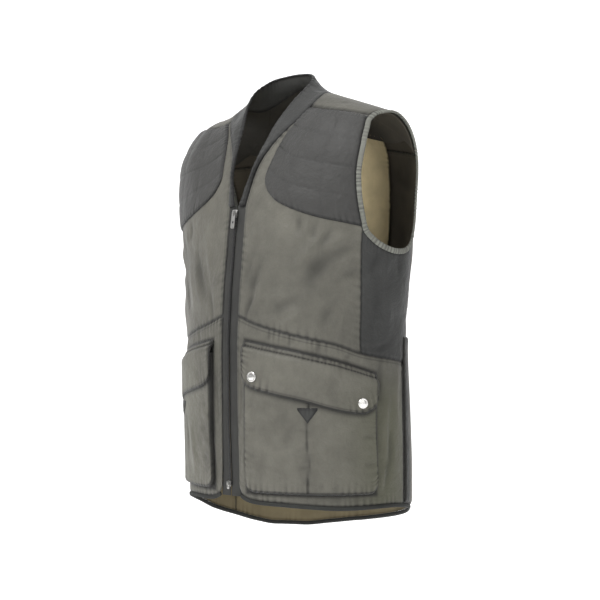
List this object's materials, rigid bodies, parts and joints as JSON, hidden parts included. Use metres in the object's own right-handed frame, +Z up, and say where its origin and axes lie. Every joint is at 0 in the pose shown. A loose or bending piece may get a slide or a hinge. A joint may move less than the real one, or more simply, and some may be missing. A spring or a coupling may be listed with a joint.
{
  "type": "gilet",
  "caption": "Sleeveless shooting gilet in waxed cloth, filled out as worn, with quilted shoulder patches, a full front zip, flapped bellows pockets and a longer back.",
  "frame": {"origin": "midway between the tops of the shoulders at the neck, where the wearer's shoulders hold the garment up", "axes": "+Z up, -Y to the front where the zip is, +X to the wearer's left"},
  "size_m": [0.4368, 0.31, 0.7424],
  "materials": {
    "olive cloth": "waxed cotton canvas, dull with a faint sheen",
    "dark cloth": "dark cotton, matt",
    "patch cloth": "dark quilted cotton, matt",
    "inner cloth": "dark inner cloth, matt",
    "beige lining": "beige lining cloth, matt",
    "binding": "bias binding, puckered",
    "dark binding": "dark tape binding, matt",
    "zip tape": "woven zip tape, matt",
    "zip teeth": "dark moulded teeth",
    "metal": "bright plated metal"
  },
  "bodies": {
    "garment": {"armhole_binding_left": "binding", "armhole_binding_right": "binding", "back": "olive cloth", "back_lining": "beige lining", "back_skirt": "olive cloth", "flap_left": "olive cloth", "flap_right": "olive cloth", "front_left": "olive cloth", "front_right": "olive cloth", "game_pocket": "olive cloth", "hem_binding_back": "dark binding", "hem_binding_left": "dark binding", "hem_binding_right": "dark binding", "neck_band": "dark cloth", "pleat_tack_left": "dark cloth", "pleat_tack_right": "dark cloth", "pocket_left": "olive cloth", "pocket_right": "olive cloth", "shoulder_patch_left": "patch cloth", "shoulder_patch_right": "patch cloth", "side_panel_left": "dark cloth", "side_panel_right": "dark cloth", "skirt_left": "olive cloth", "skirt_right": "olive cloth", "slider_bottom": "metal", "slider_top": "metal", "stud_inner_left": "metal", "stud_outer_left": "metal", "stud_outer_right": "metal", "yoke": "olive cloth", "yoke_facing": "inner cloth", "zip_tape_left": "zip tape", "zip_tape_right": "zip tape", "zip_teeth_left": "zip teeth", "zip_teeth_right": "zip teeth"},
    "top_pull": {"pull_top": "metal"},
    "bottom_pull": {"pull_bottom": "metal"}
  },
  "joints": [
    {"name": "top_pull_swing", "type": "hinge", "parent": "garment", "child": "top_pull", "pos_m": [0, -0.13954, -0.19019], "axis": [-1, 0, 0], "range_deg": [0, 150]},
    {"name": "bottom_pull_swing", "type": "hinge", "parent": "garment", "child": "bottom_pull", "pos_m": [0, -0.15141, -0.60633], "axis": [-1, 0, 0], "range_deg": [0, 150]}
  ]
}
